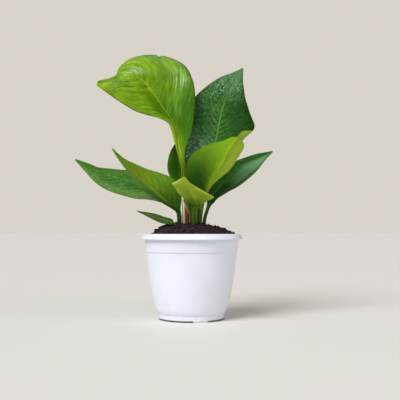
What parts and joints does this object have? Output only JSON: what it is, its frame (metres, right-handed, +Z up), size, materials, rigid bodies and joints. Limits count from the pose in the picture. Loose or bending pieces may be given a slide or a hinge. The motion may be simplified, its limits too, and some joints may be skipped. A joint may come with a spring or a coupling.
{
  "type": "potted green anthurium",
  "caption": "Leafy aroid house plant in a tapered round nursery pot with a rim lip, with broad glossy leaves on stalks that stand in a mound of soil.",
  "frame": {"origin": "middle of the pot's underside, on the surface the pot stands on", "axes": "+Z up; -Y is the front, towards the viewer of the picture; -X is the side the longest leaves reach out to"},
  "size_m": [0.2546, 0.1384, 0.3399],
  "materials": {
    "pot_plastic": "satin",
    "soil": "matte",
    "crown": "matte",
    "sheath": "matte",
    "leaf_bright": "satin",
    "leaf_pale": "satin",
    "leaf_green": "satin",
    "leaf_dark": "satin"
  },
  "bodies": {
    "root": {"pot": "pot_plastic", "soil": "soil", "crown_and_roots": "crown", "sheath": "sheath", "leaf_arching_left": "leaf_bright", "leaf_tall_back": "leaf_dark", "leaf_cupped_front": "leaf_bright", "leaf_small_front": "leaf_pale", "leaf_upright_back": "leaf_dark", "leaf_long_left": "leaf_green", "leaf_olive_left": "leaf_bright", "leaf_low_left": "leaf_green", "leaf_right": "leaf_dark"}
  },
  "joints": []
}
